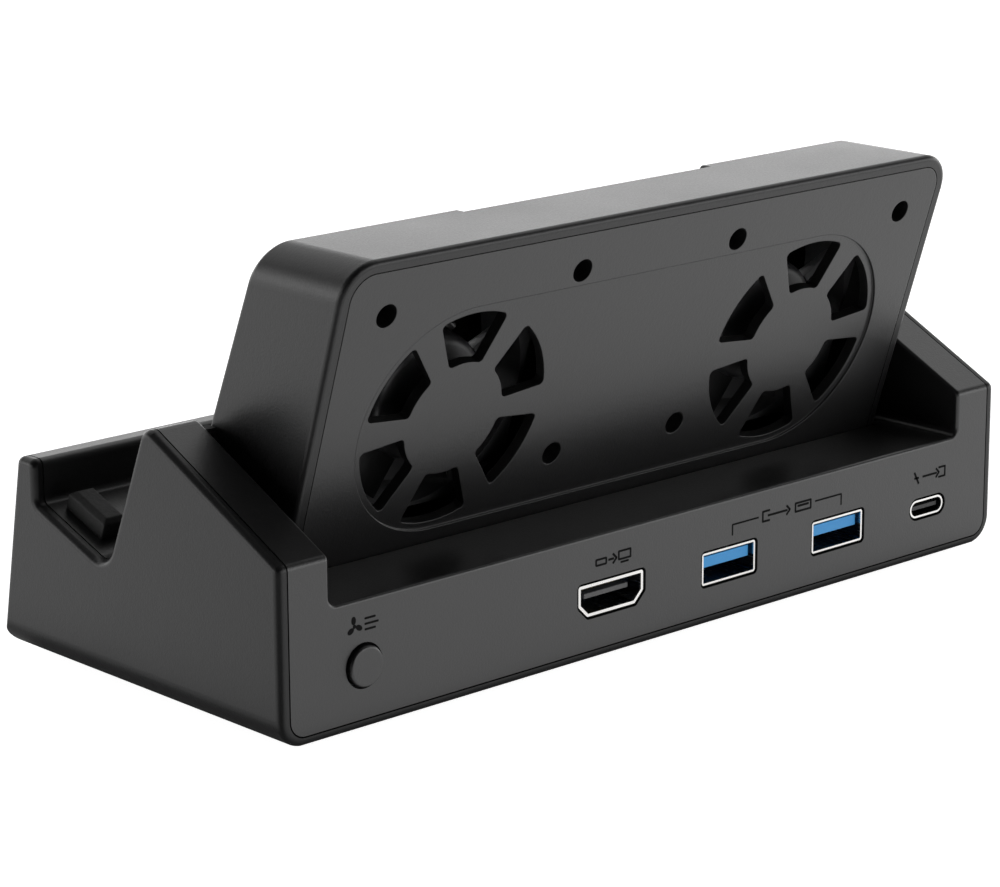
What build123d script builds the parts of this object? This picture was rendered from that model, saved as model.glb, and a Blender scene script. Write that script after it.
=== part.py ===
from build123d import *
from math import cos, radians, sin, sqrt, tan
import os

os.makedirs("parts", exist_ok=True)

# Handheld console dock. Millimetres, +Z up, +Y towards the socket side, +X to the fan button's end.
# The origin is on the table, under the middle of the base.
# Depths are measured forward from the rear face, heights upward from the tray's underside.

# Base block
dock_length = 169.0
corner_radius = 5.0
outer_round = 1.2
edge_round = 1.3
peak_round = 2.2
foot_height = 0.8

# Side view of the base
shoulder_height = 29.65
shoulder_slope = 26.4
shoulder_width = 10.15
deck_height = 21.5
deck_corner = 1.5
soft_edge = 0.6
front_lean = 10.45
toe_radius = 3.0
lip_depth = 63.2
lip_thickness = 4.85
lip_height = 34.2
lip_core_height = 29.0
toe_wall = 3.2
cradle_height = 26.9
cradle_slope = 20.5
cradle_radius = 4.0
support_tilt = 22.7

# Tray and shell walls
tray_wall = 1.8
tray_floor = 1.5
seam_gap = 0.25
shell_wall = 2.0

# Fan housing: the backrest
side_gap = 4.05
housing_top = 74.6
housing_top_depth = 21.9
housing_rear_depth = 16.35
housing_rear_tilt = 17.75
housing_corner = 6.5
housing_foot = 15.5
housing_wall = 2.1
housing_front_wall = 2.0
housing_edge_round = 0.9
flange_reach = 2.4
flange_thickness = 2.4
flange_start = 18.0
flange_end = 40.0
shelf_start = 34.0
shelf_thickness = 2.0
web_height = 43.4
web_thickness = 2.0
post_depth = 38.5
post_inset = 20.3
post_radius = 3.0
fit_gap = 0.3
cut_past = 1.0
same_place = 0.001

# Step in the housing's front top edge
step_width = 57.6
step_depth = 2.1
step_height = 10.0
step_radius = 2.5

# Rear cover
cover_gap = 0.15
cover_plate = 2.0
recess_depth = 0.45
cover_corner = 4.3
cover_foot = 17.5
recess_rise = 0.1
recess_margin = 0.6
window_inner = 10.2
window_outer_angle = 21.6
window_inner_angle = 19.4
window_round = 0.9
window_count = 6

# Cover screws: how far outside the fans' sides, and how far below the cover's top or above its deck line
outer_screw_side = 0.15
outer_screw_drop = 10.3
inner_screw_side = 1.55
inner_screw_drop = 9.25
lower_screw_side = 5.1
lower_screw_height = 11.25
screw_well_radius = 2.05
screw_well_wall = 1.0
screw_well_depth = 3.4
screw_well_floor = 1.2
screw_pass_radius = 1.25

# Small self-tapping screws
screw_radius = 1.0
screw_head_radius = 1.75
screw_head_height = 1.3
screw_clearance = 0.08
screw_socket_radius = 0.75
screw_socket_depth = 0.7
screw_end_space = 1.0
boss_radius = 2.8
cover_screw_length = 7.5
fan_screw_length = 13.0
board_screw_length = 4.9
base_screw_length = 8.0

# Axial fans, 40 mm square: the room left around them inside the housing
fan_side_room = 10.6
fan_head_room = 12.754
fan_foot_room = 3.0
fan_thickness = 10.0
fan_corner = 3.5
fan_flange = 2.4
fan_hole_inset = 4.0
fan_hole_radius = 1.6
fan_post_radius = 2.7
fan_set_back = 6.4
duct_margin = 0.7
duct_wall = 1.2

# Fan rotor, from the fan's rear face forward
blade_gap = 0.7
blade_count = 7
blade_thickness = 0.9
blade_camber = 0.9
blade_root_chord = 9.0
blade_tip_chord = 12.5
blade_root_pitch = 48.0
blade_tip_pitch = 32.0
blade_centre = 4.1
hub_radius = 11.4
hub_height = 7.2
hub_wall = 1.1
hub_round = 1.4
hub_set_back = 0.5
magnet_gap = 0.05
magnet_thickness = 1.1
magnet_height = 5.0
shaft_radius = 1.0
shaft_clearance = 0.03
shaft_end_gap = 0.3

# Fan motor
stator_gap = 0.5
stator_height = 4.4
stator_poles = 4
stator_slot_width = 1.4
stator_slot_radius = 2.2
stator_slot_reach = 6.0
stator_bore_gap = 0.05
bearing_tube_radius = 2.6
bearing_tube_height = 6.2
bearing_radius = 1.9
bearing_fit = 0.02
tube_foot_radius = 3.6
tube_foot_height = 1.0
motor_plate_radius = 11.0
motor_plate_thickness = 1.4
strut_count = 4
strut_width = 2.2

# Front vents, one group of slots behind each fan
vent_margin = 2.5
vent_slot_height = 1.5
vent_slot_pitch = 3.6
vent_slot_count = 9
vent_rise = 8.4

# Sockets and button on the rear face, from the middle or an end and from the tray's underside
video_place = (13.4, 10.4)
data_place_left = (-14.85, 9.95)
data_place_right = (-42.5, 9.95)
power_height = 9.75
power_inset = 17.9
button_height = 10.5
button_inset = 17.0
socket_clearance = 0.45
socket_set_back = 0.2
socket_back_wall = 0.8
socket_leg_width = 1.0
socket_leg_start = 7.0
socket_leg_length = 5.0
socket_corner = 0.5
video_size = (15.0, 5.55)
video_chamfer = 2.0
video_length = 11.5
video_wall = 0.5
video_leg_reach = 4.5
video_tongue = (11.2, 1.6)
video_tongue_rise = 0.7
video_tongue_inset = 1.0
data_size = (13.1, 5.7)
data_length = 17.5
data_wall = 0.35
data_leg_reach = 5.0
data_tongue = (11.2, 1.9)
data_tongue_rise = 0.95
data_tongue_inset = 0.8
power_size = (8.94, 3.26)
power_length = 8.6
power_wall = 0.35
power_leg_reach = 2.4
power_tongue = (6.7, 0.7)
power_tongue_inset = 0.6

# Fan button and its switch
button_hole_radius = 3.8
button_radius = 3.4
button_proud = 0.9
button_round = 0.5
button_flange_radius = 4.6
button_flange_thickness = 1.2
button_travel = 0.6
button_stem_radius = 1.6
button_stem_length = 0.8
switch_size = (6.0, 3.5, 6.0)
switch_depth = 6.0
switch_leg_width = 1.2
plunger_radius = 1.7
plunger_clearance = 0.05
plunger_inside = 1.5

# Main board
board_thickness = 1.6
board_top = 7.0
board_depth = 27.0
board_inset = 11.5
board_set_back = 5.0
board_round = 2.0
board_post_radius = 2.6
board_screw_inset = 5.0
board_screw_depth = 28.0
inner_board_screws = [(0.0, 28.0), (-28.7, 9.0), (42.0, 9.0)]
chip_size = (10.0, 10.0, 1.2)
chip_place = (-35.0, 25.0)
header_size = (7.5, 4.5, 5.5)
header_places = [(-14.0, 25.5), (18.0, 25.5)]

# Base screws, driven from beneath into the shell's bosses
rear_screw_inset = 7.6
rear_screw_depth = 9.0
front_screw_inset = 22.5
front_screw_depth = 57.0
base_well_height = 3.4
base_well_wall = 1.0
base_head_recess = 0.6
base_pilot_end = 11.5

# Cradle pads and feet
pad_side_gap = 2.45
pad_width = 4.8
pad_length = 10.0
pad_height = 3.6
pad_chamfer = 0.8
pad_front_gap = 2.6
foot_strip_width = 9.0
foot_strip_inset = 36.5
foot_strip_round = 2.0
foot_strip_gap = 0.15
foot_inset = 5.0
foot_recess = 0.7

# Values that follow from the sizes above
half_length = dock_length / 2
front_tilt = radians(front_lean)
rest_tilt = radians(support_tilt)
rear_tilt = radians(housing_rear_tilt)
shoulder_tilt = radians(shoulder_slope)
floor_tilt = radians(cradle_slope)
lean = tan(front_tilt)
tilt = tan(rest_tilt)
slope = tan(shoulder_tilt)
floor_slope = tan(floor_tilt)
toe_depth = lip_depth + lip_thickness + lip_height * lean
toe_reach = toe_depth - toe_radius * (lean + 1 / cos(front_tilt) - 1)
rear_y = toe_reach / 2
shell_half = half_length - tray_wall - seam_gap
shell_foot = tray_floor + seam_gap
shell_corner = corner_radius - tray_wall - seam_gap
deck_half = half_length - shoulder_width
housing_half = deck_half - side_gap
housing_rear_top = housing_rear_depth - (housing_top - deck_height) * tan(rear_tilt)
housing_front_top = housing_rear_top + housing_top_depth
cover_thickness = cover_plate + recess_depth
cover_inset = housing_wall + cover_gap
pilot_radius = screw_radius + screw_clearance
board_bottom = board_top - board_thickness
board_length = dock_length - 2 * board_inset
foot_strip_length = dock_length - 2 * foot_strip_inset
pad_reach = shell_half - pad_side_gap
button_place = (half_length - button_inset, button_height)
power_place = (power_inset - half_length, power_height)

# Fans and grilles, fitted into the housing
cover_height = (housing_top - deck_height) / cos(rear_tilt)
fan_size = cover_height - fan_head_room - fan_foot_room
fan_hole_pitch = fan_size - 2 * fan_hole_inset
duct_radius = fan_size / 2 - duct_margin
blade_radius = duct_radius - blade_gap
grille_height = fan_foot_room + fan_size / 2
grille_reach = housing_half - fan_side_room - fan_size / 2
recess_height = grille_height + recess_rise
recess_radius = fan_size / 2 + recess_margin
vent_radius = fan_size / 2 - vent_margin
fan_outside = grille_reach + fan_size / 2
fan_inside = grille_reach - fan_size / 2
outer_screw_place = (fan_outside + outer_screw_side, cover_height - outer_screw_drop)
inner_screw_place = (fan_inside - inner_screw_side, cover_height - inner_screw_drop)
lower_screw_place = (fan_inside - lower_screw_side, lower_screw_height)


def rest_depth(height, inset=0):
    """Depth of the backrest's front face at a height, moved inward by an inset."""
    return housing_front_top + (housing_top - height) * tilt - inset / cos(rest_tilt)


def rear_depth(height, inset=0):
    """Depth of the housing's rear face at a height, moved inward by an inset."""
    return housing_rear_depth - (height - deck_height) * tan(rear_tilt) + inset / cos(rear_tilt)


def cradle_floor(depth, inset=0):
    """Height of the sloped cradle floor at a depth, moved down by an inset."""
    return cradle_height - floor_slope * (lip_depth - depth) - inset / cos(floor_tilt)


def shoulder_top(depth, inset=0):
    """Height of the sloped shoulders at a depth, moved down by an inset."""
    return shoulder_height + slope * depth - inset / cos(shoulder_tilt)


def front_depth(height, inset=0):
    """Depth of the leaning front wall at a height, moved inward by an inset."""
    return lip_depth + lip_thickness + (lip_height - height) * lean - inset / cos(front_tilt)


def trough_height(inset=0):
    """Height where the cradle floor meets the backrest, both moved inward by an inset."""
    return cradle_floor(rest_depth(0, inset), inset) / (1 + floor_slope * tilt)


def peak_height(inset=0):
    """Height where the shoulders meet the backrest, both moved inward by an inset."""
    return shoulder_top(rest_depth(0, inset), inset) / (1 + slope * tilt)


def side_point(depth, height):
    """A depth and a height as a point of the side view, in Y and Z."""
    return (rear_y - depth, height + foot_height)


def side_prism(points, radii, half_width):
    """Side view with rounded corners, carried sideways to both ends."""
    places = [side_point(depth, height) for depth, height in points]
    line = Plane.YZ * FilletPolyline(*places, radius=radii, close=True)
    return extrude(make_face(line), half_width, both=True)


def block(x_low, x_high, depth_low, depth_high, low, high):
    """Plain block between two ends, two depths and two heights."""
    middle = ((x_low + x_high) / 2, rear_y - (depth_low + depth_high) / 2, foot_height + (low + high) / 2)
    return Pos(*middle) * Box(x_high - x_low, depth_high - depth_low, high - low)


def upright(x, depth, low, high, radius):
    """Upright round post or hole."""
    middle = (x, rear_y - depth, foot_height + (low + high) / 2)
    return Pos(*middle) * Cylinder(radius, high - low)


def bar(radius, start, end):
    """Round bar along Z from one place to another."""
    return Pos(0, 0, (start + end) / 2) * Cylinder(radius, end - start)


def rearward(place, start, sketch, length):
    """Sketch seen square on, at a place on the rear face, carried forward from a depth."""
    x, height = place
    plane = Plane.XZ.offset(start - rear_y)
    return extrude(plane * Pos(x, height + foot_height) * sketch, length)


def joined(shapes):
    """All the shapes as one."""
    shapes = list(shapes)
    return shapes[0].fuse(*shapes[1:]) if len(shapes) > 1 else shapes[0]


def both_ends(place):
    """A place and its mirror image about the middle of the dock."""
    x, other = place
    return [(-x, other), (x, other)]


def edges_on(shape, plane):
    """Edges that lie in a plane."""
    return ShapeList(
        edge
        for edge in shape.edges()
        if all(abs(plane.to_local_coords(edge @ part).Z) < same_place for part in (0, 0.5, 1))
    )


def screw(length):
    """Screw that points along +Z, with the underside of its head at zero."""
    head = bar(screw_head_radius, -screw_head_height, 0)
    socket = bar(screw_socket_radius, -screw_head_height, screw_socket_depth - screw_head_height)
    return head + bar(screw_radius, 0, length) - socket


def save(shape, name, colour):
    """Label a piece and write it as a STEP file."""
    solids = shape.solids()
    shape = Compound(children=solids) if len(solids) > 1 else solids[0]
    shape.label = name
    shape.color = Color(*colour)
    export_step(shape, f"parts/{name}.step")


# Colours
black = (0.05, 0.05, 0.055)
dark = (0.09, 0.09, 0.1)
rubber = (0.03, 0.03, 0.03)
steel = (0.62, 0.63, 0.65)
bright = (0.8, 0.8, 0.82)
brass = (0.72, 0.55, 0.25)
blue = (0.1, 0.35, 0.75)
green = (0.03, 0.12, 0.07)

# Corners of the side view, clockwise from the bottom of the rear face
side_view = [
    (0, 0),
    (0, shoulder_height),
    (rest_depth(peak_height()), peak_height()),
    (rest_depth(trough_height()), trough_height()),
    (lip_depth, cradle_height),
    (lip_depth, lip_height),
    (lip_depth + lip_thickness, lip_height),
    (toe_depth, 0),
]
side_rounds = [edge_round] * len(side_view)
side_rounds[2] = peak_round
side_rounds[3] = cradle_radius
side_rounds[7] = toe_radius
base_high = peak_height() + shell_wall


def end_prism(half_width, low, radius):
    """Rear view as a block that is square at the top and rounded at its lower corners."""
    outline = Pos(0, foot_height + (low + base_high) / 2) * Rectangle(2 * half_width, base_high - low)
    corners = outline.vertices().sort_by(Axis.Y)[:2]
    return extrude(Plane.XZ.offset(-rear_y) * fillet(corners, radius), 2 * toe_depth)


# Plane of the housing's rear face: X along the dock, Y up the face, Z into the housing
rear_face = Plane(
    origin=(0, rear_y - housing_rear_depth, deck_height + foot_height),
    x_dir=(1, 0, 0),
    z_dir=(0, -cos(rear_tilt), sin(rear_tilt)),
)

# Plane of the housing's front face: Y up the face, Z into the housing
front_face = Plane(
    origin=(0, rear_y - rest_depth(deck_height), deck_height + foot_height),
    x_dir=(-1, 0, 0),
    z_dir=(0, cos(rest_tilt), -sin(rest_tilt)),
)
front_face_length = (housing_top - deck_height) / cos(rest_tilt)


def on_cover(place, inward, shape):
    """Put a shape at a place on the rear cover, its Z axis pointing into the housing."""
    x, up = place
    return rear_face.location * Pos(x, up, inward) * shape


def housing_outline(inset, corner, low):
    """Rear view of the housing, made smaller all round by an inset."""
    top = housing_top - inset
    outline = Pos(0, foot_height + (low + top) / 2) * Rectangle(2 * (housing_half - inset), top - low)
    corners = outline.vertices().sort_by(Axis.Y)[-2:]
    return extrude(Plane.XZ * fillet(corners, corner), 2 * toe_depth, both=True)


def housing_body(inset, corner, low, front_inset, rear_inset):
    """Solid housing between its leaning faces, with every side moved inward by an inset."""
    high = housing_top + 2 * fit_gap
    wedge = side_prism(
        [
            (rear_depth(low, rear_inset), low),
            (rear_depth(high, rear_inset), high),
            (rest_depth(high, front_inset), high),
            (rest_depth(low, front_inset), low),
        ],
        0,
        half_length,
    )
    return wedge & housing_outline(inset, corner, low)


# Lower tray: floor and two side walls, cut to the side view with every outer edge rounded
tray_sides = side_prism(side_view, side_rounds, half_length)
tray_sides = fillet(tray_sides.faces().filter_by(Axis.X).edges(), outer_round)
tray_back = end_prism(half_length, 0, corner_radius)
tray_back = fillet(tray_back.faces().sort_by(Axis.Y)[-1].edges(), outer_round)
tray_space = end_prism(half_length - tray_wall, tray_floor, corner_radius - tray_wall)
tray = tray_sides & tray_back - Pos(0, cut_past, 0) * tray_space

# Wells for the heads of the base screws, open from beneath
base_screw_places = both_ends((half_length - rear_screw_inset, rear_screw_depth))
base_screw_places += both_ends((half_length - front_screw_inset, front_screw_depth))
base_well_radius = screw_head_radius + fit_gap
base_head_top = screw_head_height + base_head_recess
tray += joined(
    upright(x, depth, tray_floor / 2, base_well_height, base_well_radius + base_well_wall)
    for x, depth in base_screw_places
)
tray -= joined(
    upright(x, depth, -cut_past, base_head_top, base_well_radius)
    + upright(x, depth, base_head_top, base_well_height + cut_past, screw_pass_radius)
    for x, depth in base_screw_places
)

# Board posts and housing posts that stand on the tray's floor
board_screw_places = both_ends((board_length / 2 - board_screw_inset, board_screw_depth))
board_screw_places += inner_board_screws
housing_post = (housing_half - post_inset, post_depth)
tray += joined(
    upright(x, depth, tray_floor / 2, board_bottom, board_post_radius) for x, depth in board_screw_places
)
tray += joined(
    upright(x, depth, tray_floor / 2, housing_foot, post_radius) for x, depth in both_ends(housing_post)
)
board_pilot_end = board_top - board_screw_length - fit_gap
tray -= joined(
    upright(x, depth, board_pilot_end, board_bottom + cut_past, pilot_radius)
    for x, depth in board_screw_places
)

# Foot strips, let into the underside of the tray
front_strip_depth = toe_depth - toe_radius - foot_inset - foot_strip_width / 2
rear_strip_depth = foot_inset + foot_strip_width / 2


def foot_strip(depth, low, high, grow):
    """Long rounded strip under the tray, larger all round by an allowance."""
    length = foot_strip_length + 2 * grow
    width = foot_strip_width + 2 * grow
    plan = RectangleRounded(length, width, foot_strip_round + grow)
    return Pos(0, rear_y - depth, foot_height + low) * extrude(plan, high - low)


for strip_depth in (front_strip_depth, rear_strip_depth):
    tray -= foot_strip(strip_depth, -cut_past, foot_recess, foot_strip_gap)
save(tray, "lower_tray", black)
save(foot_strip(front_strip_depth, -foot_height, foot_recess, 0), "foot_strip_front", rubber)
save(foot_strip(rear_strip_depth, -foot_height, foot_recess, 0), "foot_strip_rear", rubber)

# Upper shell: block inside the tray, with the open space between the shoulders cut down to the deck
shell_rounds = list(side_rounds)
shell_rounds[3] = 0
shell_sharp = side_prism(side_view, shell_rounds, shell_half)
trough_fill = side_prism(side_view, side_rounds, shell_half) - shell_sharp
shell_block = shell_sharp & end_prism(shell_half, shell_foot, shell_corner)
deck_end = rest_depth(deck_height) + deck_corner
deck_space = Pos(0, cut_past, 0) * end_prism(deck_half, deck_height, deck_corner)
deck_space &= block(-half_length, half_length, -cut_past, deck_end, 0, base_high)
shell_solid = shell_block - deck_space

# Web that closes the front of the slits beside the housing
inner_wall = deck_half + shell_wall
deck_under = deck_height - shell_wall
shell_solid += side_prism(
    [
        (rest_depth(deck_under, web_thickness), deck_under),
        (rest_depth(web_height, web_thickness), web_height),
        (rest_depth(web_height), web_height),
        (rest_depth(deck_under), deck_under),
    ],
    0,
    inner_wall,
)


def between(edge, low, high):
    """Whether an edge lies between two heights."""
    box = edge.bounding_box()
    lowest = foot_height + low - same_place
    return box.min.Z > lowest and box.max.Z < foot_height + high + same_place


def beside_web(edge):
    """Whether an edge runs in front of the shoulder's rear face and no higher than the web."""
    box = edge.bounding_box()
    return box.max.Y < rear_y - edge_round and box.max.Z < foot_height + web_height + same_place


# Soft inner edges of the shoulders and the soft rear edge of the deck
corner_top = deck_height + deck_corner
inner_edges = edges_on(shell_solid, Plane.YZ.offset(deck_half))
inner_edges += edges_on(shell_solid, Plane.YZ.offset(-deck_half))
soft_edges = [
    edge for edge in inner_edges if not beside_web(edge) and not between(edge, corner_top, corner_top)
]
rear_edges = edges_on(shell_solid, Plane.XZ.offset(-rear_y))
soft_edges += [edge for edge in rear_edges if between(edge, deck_height, corner_top)]
shell_solid = fillet(soft_edges, soft_edge) + trough_fill

# Inside of the shell: one wall thickness all round, and only the deck plate between the shoulders
front_foot = toe_reach - toe_wall
front_foot_height = (front_depth(0, shell_wall) - front_foot) / lean
core_depth = lip_depth + shell_wall
shell_space = side_prism(
    [
        (shell_wall, 0),
        (shell_wall, shoulder_top(shell_wall, shell_wall)),
        (rest_depth(peak_height(shell_wall), shell_wall), peak_height(shell_wall)),
        (rest_depth(trough_height(shell_wall), shell_wall), trough_height(shell_wall)),
        (core_depth, cradle_floor(core_depth, shell_wall)),
        (core_depth, lip_core_height),
        (front_depth(lip_core_height, shell_wall), lip_core_height),
        (front_foot, front_foot_height),
        (front_foot, 0),
    ],
    0,
    shell_half - shell_wall,
)
shell_space -= block(-inner_wall, inner_wall, 0, core_depth, deck_under, base_high) & side_prism(
    [
        (0, deck_under),
        (0, base_high),
        (rest_depth(base_high), base_high),
        (rest_depth(deck_under), deck_under),
    ],
    0,
    half_length,
)
shell = shell_solid - shell_space

# Bosses that take the base screws, down to the wells in the tray
shell += shell_solid & joined(
    upright(x, depth, base_well_height, base_high, boss_radius) for x, depth in base_screw_places
)
shell -= joined(
    upright(x, depth, base_well_height - cut_past, base_pilot_end, pilot_radius)
    for x, depth in base_screw_places
)

# Opening that the housing stands in
shell -= housing_body(-fit_gap, housing_corner, housing_foot - fit_gap, -fit_gap, -fit_gap)

# Openings for the sockets and the button through the rear wall
video_outline = Rectangle(*video_size)
video_outline = chamfer(video_outline.vertices().sort_by(Axis.Y)[:2], video_chamfer)
video_outline = fillet(video_outline.vertices(), socket_corner)
data_outline = RectangleRounded(*data_size, socket_corner)
power_outline = SlotOverall(*power_size)
socket_views = [
    (video_place, video_outline),
    (data_place_left, data_outline),
    (data_place_right, data_outline),
    (power_place, power_outline),
]
wall_cut = shell_wall + 2 * cut_past
for place, outline in socket_views:
    shell -= rearward(place, -cut_past, offset(outline, socket_clearance), wall_cut)
shell -= rearward(button_place, -cut_past, Circle(button_hole_radius), wall_cut)
save(shell, "upper_shell", black)

# Fan housing: one moulding, open at the rear and underneath
housing = housing_body(0, housing_corner, housing_foot, 0, 0)
outline_edges = [
    edge
    for face in (rear_face, front_face)
    for edge in edges_on(housing, face)
    if not between(edge, housing_foot, housing_foot)
]
housing = fillet(outline_edges, housing_edge_round)
housing_solid = housing
inner_corner = housing_corner - housing_wall
housing_space = housing_body(
    housing_wall, inner_corner, housing_foot - cut_past, housing_front_wall, -cut_past
)


def step_cut(grow, depth):
    """Recess in the middle of the housing's front top edge, larger all round by an allowance."""
    height = 2 * (step_height + grow)
    outline = RectangleRounded(step_width + 2 * grow, height, step_radius + grow)
    sunk = Pos(0, front_face_length, -cut_past) * extrude(outline, depth + cut_past)
    return front_face.location * sunk


housing -= housing_space - step_cut(housing_front_wall, step_depth + housing_front_wall)
housing_solid -= step_cut(0, step_depth)
housing &= housing_solid

# Flanges under the deck, and the shelf that stands on the tray's posts
flanges = block(
    -housing_half - flange_reach,
    housing_half + flange_reach,
    flange_start,
    flange_end,
    deck_under - flange_thickness,
    deck_under,
)
housing += flanges - block(
    -housing_half + housing_wall, housing_half - housing_wall, 0, toe_depth, 0, housing_top
)
shelf = block(
    -housing_half, housing_half, shelf_start, toe_depth, housing_foot, housing_foot + shelf_thickness
)
housing += shelf & housing_solid

# Bosses for the cover screws and the corners of the fans
cover_screw_places = both_ends(outer_screw_place) + both_ends(inner_screw_place)
cover_screw_places += both_ends(lower_screw_place)
well_end = cover_thickness + screw_well_depth
fan_front = fan_set_back + fan_thickness
fan_centres = both_ends((grille_reach, grille_height))
hole_reach = fan_hole_pitch / 2
fan_corners = [
    (x + across, up + along)
    for x, up in fan_centres
    for across in (-hole_reach, hole_reach)
    for along in (-hole_reach, hole_reach)
]
housing_bosses = joined(
    on_cover(place, 0, bar(boss_radius, well_end, housing_top)) for place in cover_screw_places
) + joined(on_cover(place, 0, bar(boss_radius, fan_front, housing_top)) for place in fan_corners)
housing += housing_bosses & housing_solid
cover_seat = well_end - screw_well_floor
cover_pilot_end = cover_seat + cover_screw_length + screw_end_space
housing -= joined(
    on_cover(place, 0, bar(pilot_radius, well_end - cut_past, cover_pilot_end))
    for place in cover_screw_places
)

# Each fan is held by a screw at its upper outer corner and one at its lower inner corner
fan_screw_places = [
    (x + side * hole_reach, up + side * along)
    for (x, up), along in zip(fan_centres, (-hole_reach, hole_reach))
    for side in (-1, 1)
]
fan_pilot_end = fan_set_back + fan_screw_length + screw_end_space / 2
housing -= joined(
    on_cover(place, 0, bar(pilot_radius, fan_front - cut_past, fan_pilot_end))
    for place in fan_screw_places
)

# Vents through the front wall, clipped to a circle in front of each fan
vent_height = grille_height + vent_rise
vent_cut_depth = 2 * housing_front_wall + step_depth
vent_cuts = []
for x, _ in fan_centres:
    for row in range(vent_slot_count):
        rise = (row - (vent_slot_count - 1) / 2) * vent_slot_pitch
        slot = SlotOverall(2 * sqrt(vent_radius**2 - rise**2), vent_slot_height)
        cut = Pos(x, vent_height + rise, -cut_past) * extrude(slot, vent_cut_depth + cut_past)
        vent_cuts.append(front_face.location * cut)
housing -= joined(vent_cuts)
save(housing, "fan_housing", black)

# Rear cover: plate set into the housing's rim, with a long rounded recess and two grilles
cover = housing_body(cover_inset, cover_corner, cover_foot, 0, 0)
cover &= on_cover((0, 0), cover_thickness / 2, Box(dock_length, 2 * housing_top, cover_thickness))
cover += joined(
    on_cover(place, 0, bar(screw_well_radius + screw_well_wall, cover_thickness / 2, well_end))
    for place in cover_screw_places
)
recess = SlotCenterToCenter(2 * grille_reach, 2 * recess_radius)
cover -= on_cover((0, recess_height), -cut_past, extrude(recess, recess_depth + cut_past))


def on_circle(radius, angle):
    """Point on a circle at an angle in degrees."""
    return (radius * cos(radians(angle)), radius * sin(radians(angle)))


# Window of the grille: a sector of a ring with soft corners, pointing along X
inner_ends = [on_circle(window_inner, angle) for angle in (-window_inner_angle, 0, window_inner_angle)]
outer_ends = [on_circle(duct_radius, angle) for angle in (-window_outer_angle, 0, window_outer_angle)]
window = make_face(
    Curve()
    + [
        ThreePointArc(*inner_ends),
        Line(inner_ends[2], outer_ends[2]),
        ThreePointArc(*outer_ends),
        Line(outer_ends[0], inner_ends[0]),
    ]
)
window = fillet(window.vertices(), window_round)
window_cut = Pos(0, 0, -cut_past) * extrude(window, cover_thickness + 2 * cut_past)
window_turn = 360 / window_count
cover -= joined(
    on_cover(centre, 0, Rot(0, 0, 90 + number * window_turn) * window_cut)
    for centre in fan_centres
    for number in range(window_count)
)
well_cut = bar(screw_well_radius, -cut_past, cover_seat)
well_cut += bar(screw_pass_radius, 0, well_end + cut_past)
cover -= joined(on_cover(place, 0, well_cut) for place in cover_screw_places)
save(cover, "fan_rear_cover", black)
cover_screws = [on_cover(place, cover_seat, screw(cover_screw_length)) for place in cover_screw_places]
save(Compound(children=cover_screws), "cover_screws", steel)
fan_screws = [on_cover(place, fan_set_back, screw(fan_screw_length)) for place in fan_screw_places]
save(Compound(children=fan_screws), "fan_screws", steel)

# Fan frame: square flanges, a round duct between them, and a motor plate on four struts.
# Drawn from the fan's rear face, with Z forward.
square = RectangleRounded(fan_size, fan_size, fan_corner)
waist_sketch = Rectangle(2 * fan_size, 2 * fan_size) - Circle(duct_radius + duct_wall)
waist = Pos(0, 0, fan_flange) * extrude(waist_sketch, fan_thickness - 2 * fan_flange)
corners = [Pos(x, y) for x in (-hole_reach, hole_reach) for y in (-hole_reach, hole_reach)]
post = bar(fan_post_radius, fan_flange / 2, fan_thickness - fan_flange / 2)
posts = joined(place * post for place in corners)
plate_start = fan_thickness - motor_plate_thickness
frame = extrude(square, fan_thickness) - waist + posts
frame -= bar(duct_radius, -cut_past, fan_thickness + cut_past)
strut = Pos(duct_radius / 2, 0, plate_start + motor_plate_thickness / 2) * Box(
    duct_radius + duct_wall / 2, strut_width, motor_plate_thickness
)
frame += joined(Rot(0, 0, number * 360 / strut_count) * strut for number in range(strut_count))
frame += bar(motor_plate_radius, plate_start, fan_thickness)
frame += bar(tube_foot_radius, plate_start - tube_foot_height, fan_thickness)
tube_start = plate_start - bearing_tube_height
frame += bar(bearing_tube_radius, tube_start, fan_thickness)
frame -= bar(bearing_radius + bearing_fit, tube_start - cut_past, plate_start)
hole = bar(fan_hole_radius, -cut_past, fan_thickness + cut_past)
frame -= joined(place * hole for place in corners)
bearing = bar(bearing_radius, tube_start, plate_start)
bearing -= bar(shaft_radius + shaft_clearance, 0, fan_thickness)

# Stator: laminated core with slots between its poles
cup_radius = hub_radius - hub_wall
magnet_outer = cup_radius - magnet_gap
stator_radius = magnet_outer - magnet_thickness - stator_gap
core = Circle(stator_radius) - Circle(bearing_tube_radius + stator_bore_gap)
for number in range(stator_poles):
    turn = Rot(0, 0, (number + 0.5) * 360 / stator_poles)
    core -= turn * Pos(stator_slot_reach) * Circle(stator_slot_radius)
    core -= turn * Pos(stator_slot_reach + stator_radius / 2) * Rectangle(stator_radius, stator_slot_width)
stator_end = plate_start - tube_foot_height
stator = Pos(0, 0, stator_end - stator_height) * extrude(core, stator_height)

# Rotor: cup-shaped hub with its shaft and twisted blades, and the magnet ring inside the cup
hub = bar(hub_radius, hub_set_back, hub_set_back + hub_height)
hub = fillet(hub.edges().sort_by(Axis.Z)[0], hub_round)
cup_floor = hub_set_back + hub_wall
hub -= bar(cup_radius, cup_floor, fan_thickness)
hub += bar(shaft_radius, cup_floor - hub_wall / 2, plate_start - shaft_end_gap)


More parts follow.
